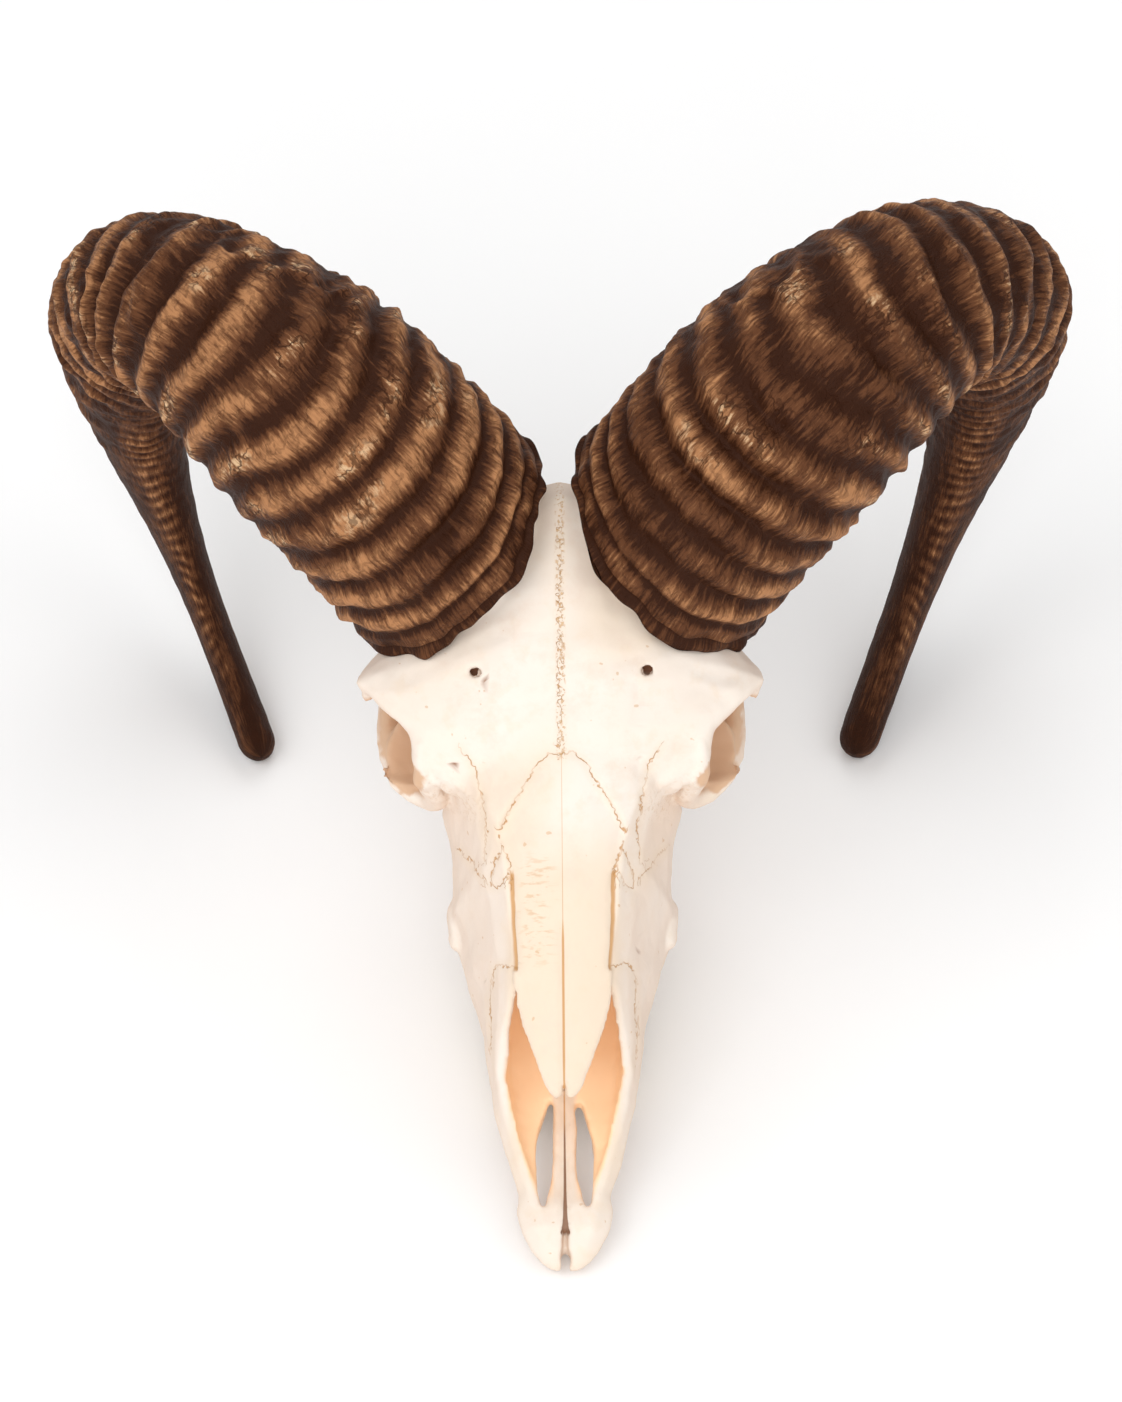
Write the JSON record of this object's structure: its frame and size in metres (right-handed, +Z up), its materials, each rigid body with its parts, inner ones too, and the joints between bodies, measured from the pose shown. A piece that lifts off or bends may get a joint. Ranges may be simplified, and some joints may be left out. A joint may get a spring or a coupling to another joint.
{
  "type": "mouflon skull",
  "caption": "Weathered mouflon ram skull with curled ridged brown horns, a still display piece that lies muzzle down on its teeth and horns.",
  "frame": {"origin": "centre of the bounding box's base, on the surface the skull rests on", "axes": "+X to the skull's left as seen from the front, +Y from the muzzle to the back of the head, +Z up"},
  "size_m": [0.3446, 0.3234, 0.24],
  "materials": {
    "bone": "matte dry ivory bone",
    "horn": "semi-gloss ridged brown horn"
  },
  "bodies": {
    "root": {"cranium": "bone", "premaxilla_left": "bone", "maxilla_left": "bone", "nasal_left": "bone", "horn_left": "horn", "premaxilla_right": "bone", "maxilla_right": "bone", "nasal_right": "bone", "horn_right": "horn"}
  },
  "joints": []
}
